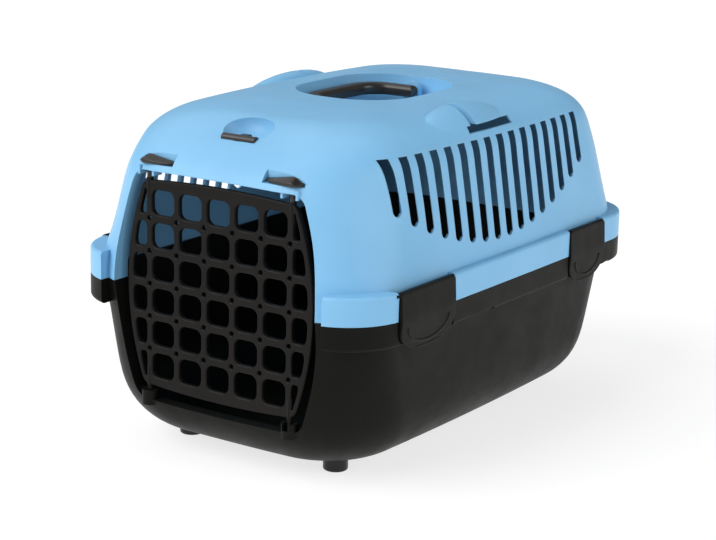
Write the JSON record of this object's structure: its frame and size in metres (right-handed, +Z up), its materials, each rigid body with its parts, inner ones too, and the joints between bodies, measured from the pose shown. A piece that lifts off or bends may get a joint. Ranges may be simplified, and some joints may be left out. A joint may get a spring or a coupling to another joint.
{
  "type": "pet carrier",
  "caption": "Hard-shell pet carrier: deep dark tray and domed light blue top clipped along a seam, barrel-shaped grille door, vented sides and a folding roof handle.",
  "frame": {"origin": "on the ground plane under the middle of the carrier's bounding box", "axes": "-Y out of the door, +X to the right of someone who faces the door, +Z up"},
  "size_m": [0.3224, 0.4739, 0.3007],
  "materials": {
    "shell_plastic": "light blue satin moulded plastic",
    "tray_plastic": "anthracite fine-grained moulded plastic",
    "trim_plastic": "warm dark grey satin moulded plastic",
    "foot_plastic": "black smooth plastic"
  },
  "bodies": {
    "tray": {"bottom_tray": "tray_plastic", "foot_front_left": "foot_plastic", "foot_front_right": "foot_plastic", "foot_rear_left": "foot_plastic", "foot_rear_right": "foot_plastic"},
    "lid": {"top_shell": "shell_plastic", "eyelet_front": "trim_plastic", "eyelet_rear": "trim_plastic"},
    "door": {"door_grille": "trim_plastic"},
    "left_latch": {"latch_left": "trim_plastic"},
    "right_latch": {"latch_right": "trim_plastic"},
    "handle": {"carry_handle": "trim_plastic"},
    "front_left_clip": {"clip_front_left": "tray_plastic"},
    "front_right_clip": {"clip_front_right": "tray_plastic"},
    "rear_left_clip": {"clip_rear_left": "tray_plastic"},
    "rear_right_clip": {"clip_rear_right": "tray_plastic"}
  },
  "joints": [
    {"name": "lid_lift", "type": "slide", "parent": "tray", "child": "lid", "axis": [0, 0, 1], "range_m": [0, 0.2]},
    {"name": "door_swing", "type": "hinge", "parent": "tray", "child": "door", "pos_m": [-0.074, -0.2195, 0.15], "axis": [0, 0, -1], "range_deg": [0, 110]},
    {"name": "left_latch_slide", "type": "slide", "parent": "lid", "child": "left_latch", "axis": [0, 0, 1], "range_m": [0, 0.012]},
    {"name": "right_latch_slide", "type": "slide", "parent": "lid", "child": "right_latch", "axis": [0, 0, 1], "range_m": [0, 0.012]},
    {"name": "handle_fold", "type": "hinge", "parent": "lid", "child": "handle", "pos_m": [0, 0.005, 0.289], "axis": [0, 1, 0], "range_deg": [0, 180]},
    {"name": "front_left_clip_turn", "type": "hinge", "parent": "lid", "child": "front_left_clip", "pos_m": [-0.155, -0.1455, 0.171], "axis": [0, 1, 0], "range_deg": [0, 100]},
    {"name": "front_right_clip_turn", "type": "hinge", "parent": "lid", "child": "front_right_clip", "pos_m": [0.155, -0.1455, 0.171], "axis": [0, -1, 0], "range_deg": [0, 100]},
    {"name": "rear_left_clip_turn", "type": "hinge", "parent": "lid", "child": "rear_left_clip", "pos_m": [-0.155, 0.127, 0.171], "axis": [0, 1, 0], "range_deg": [0, 100]},
    {"name": "rear_right_clip_turn", "type": "hinge", "parent": "lid", "child": "rear_right_clip", "pos_m": [0.155, 0.127, 0.171], "axis": [0, -1, 0], "range_deg": [0, 100]}
  ]
}
